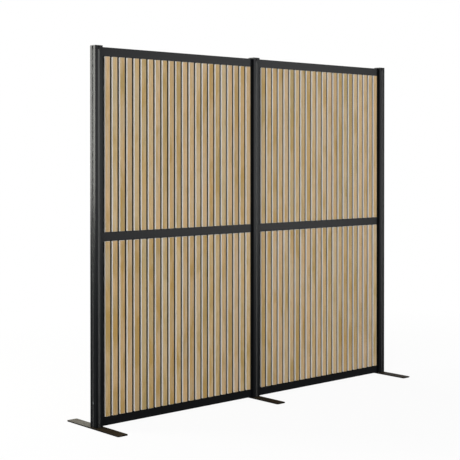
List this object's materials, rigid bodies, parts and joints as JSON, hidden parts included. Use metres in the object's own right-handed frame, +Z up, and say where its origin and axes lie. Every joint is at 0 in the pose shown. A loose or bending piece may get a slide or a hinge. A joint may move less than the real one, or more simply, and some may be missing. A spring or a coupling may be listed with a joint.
{
  "type": "slatted room divider",
  "caption": "Free-standing straight room divider: grooved square posts on flat foot plates hold rails and slatted acoustic panels, with vertical wooden slats on black felt.",
  "frame": {"origin": "on the floor, at the middle of the three feet's footprint", "axes": "+X along the divider to the right as seen from the front, +Y to the back, +Z up"},
  "size_m": [1.934, 0.39, 1.672],
  "materials": {
    "black_profile": "black anodised, satin",
    "black_cap": "fine moulded texture",
    "black_steel": "black powder coat, satin",
    "bare_steel": "bright drawn steel",
    "zinc_screw": "zinc plated",
    "black_screw": "black oxide",
    "black_felt": "pressed fibre felt",
    "oak_slat": "oak veneer, matt lacquer"
  },
  "bodies": {
    "root": {"left_post": "black_profile", "middle_post": "black_profile", "right_post": "black_profile", "left_post_cap": "black_cap", "middle_post_cap": "black_cap", "right_post_cap": "black_cap", "left_foot_plate": "black_steel", "middle_foot_plate": "black_steel", "right_foot_plate": "black_steel", "left_foot_spigot": "bare_steel", "middle_foot_spigot": "bare_steel", "right_foot_spigot": "bare_steel", "foot_plate_screws": "zinc_screw", "spigot_lock_screws": "zinc_screw", "left_bottom_rail": "black_profile", "left_middle_rail": "black_profile", "left_top_rail": "black_profile", "right_bottom_rail": "black_profile", "right_middle_rail": "black_profile", "right_top_rail": "black_profile", "left_rail_connectors": "bare_steel", "right_rail_connectors": "bare_steel", "connector_base_screws": "zinc_screw", "rail_set_screws": "black_screw", "left_lower_felt": "black_felt", "left_upper_felt": "black_felt", "right_lower_felt": "black_felt", "right_upper_felt": "black_felt", "left_lower_front_slats": "oak_slat", "left_upper_front_slats": "oak_slat", "right_lower_front_slats": "oak_slat", "right_upper_front_slats": "oak_slat", "left_lower_back_slats": "oak_slat", "left_upper_back_slats": "oak_slat", "right_lower_back_slats": "oak_slat", "right_upper_back_slats": "oak_slat"}
  },
  "joints": []
}
